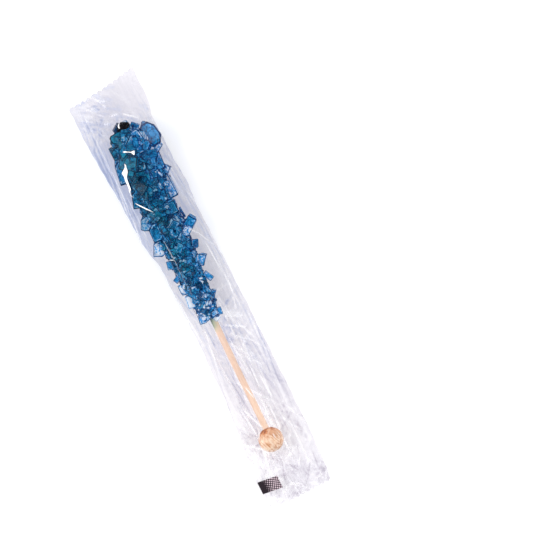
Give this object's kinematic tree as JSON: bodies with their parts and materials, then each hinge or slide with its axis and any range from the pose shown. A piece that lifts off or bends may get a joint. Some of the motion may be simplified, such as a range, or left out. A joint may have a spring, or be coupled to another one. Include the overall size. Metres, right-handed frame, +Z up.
{
  "type": "hard candy stick",
  "caption": "Blue rock candy grown on a ball-ended wooden stick, heat-sealed in a clear flow wrap with ribbed, zigzag-cut ends and a flat back seam.",
  "frame": {"origin": "on the ground, below the middle of the wrap's bounding box", "axes": "+Y along the stick from its ball towards the candy end, +Z up out of the face that shows, +X to the right"},
  "size_m": [0.0348, 0.2079, 0.0202],
  "materials": {
    "film": "clear glossy polypropylene film, creased and crimped",
    "candy": "translucent blue sugar crystals with glossy faces",
    "wood": "pale birch, plain and unvarnished",
    "print": "near-black ink printed on the film"
  },
  "bodies": {
    "root": {"wrapper": "film"}
  },
  "joints": []
}
